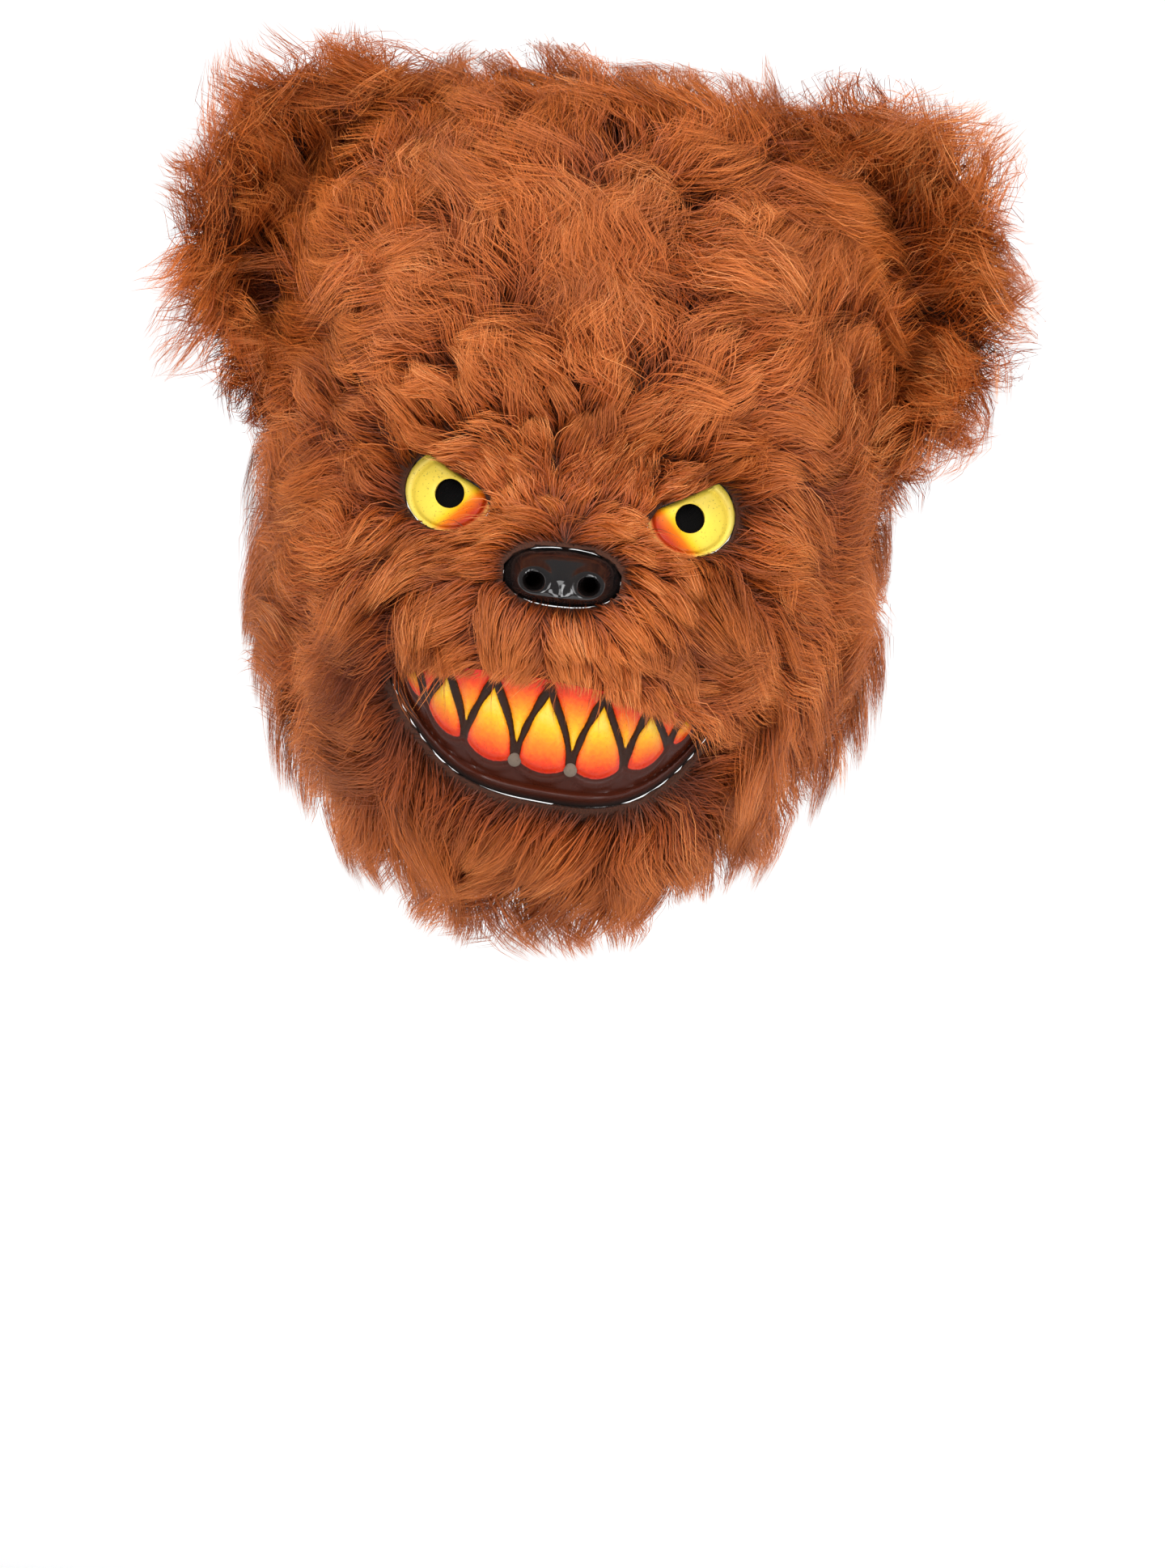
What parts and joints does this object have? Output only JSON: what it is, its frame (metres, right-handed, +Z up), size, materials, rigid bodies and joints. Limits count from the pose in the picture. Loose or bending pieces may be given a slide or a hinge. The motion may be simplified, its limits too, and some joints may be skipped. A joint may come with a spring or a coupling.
{
  "type": "furry bear face mask",
  "caption": "Full-face bear mask: moulded shell with slanted eyes, nose and toothed grin, covered in long fur, with cupped fur ears and an elastic head band.",
  "frame": {"origin": "middle of the wearer's head, level with the pupils", "axes": "+Z up, the mask faces -Y, +X to the right as seen by someone facing the mask, X = 0 is its mirror plane"},
  "size_m": [0.2728, 0.2435, 0.282],
  "materials": {
    "shell": "thin moulded plastic, dark inside",
    "fur": "long rust-brown fake fur",
    "eye": "yellow paint shaded to orange at the inner corner",
    "screen": "black see-through mesh",
    "nose": "high gloss black",
    "mouth": "glossy brown gums, teeth sprayed red, orange and yellow",
    "vent": "dull grey-brown",
    "band": "woven black elastic",
    "rivet": "plain steel"
  },
  "bodies": {
    "root": {"face_shell": "shell", "fur_cover": "fur", "ear_left": "fur", "ear_right": "fur", "eye_left": "eye", "eye_right": "eye", "eye_screen_left": "screen", "eye_screen_right": "screen", "nose": "nose", "mouth": "mouth", "vent_left": "vent", "vent_right": "vent", "head_band": "band", "rivet_left": "rivet", "rivet_right": "rivet"}
  },
  "joints": []
}
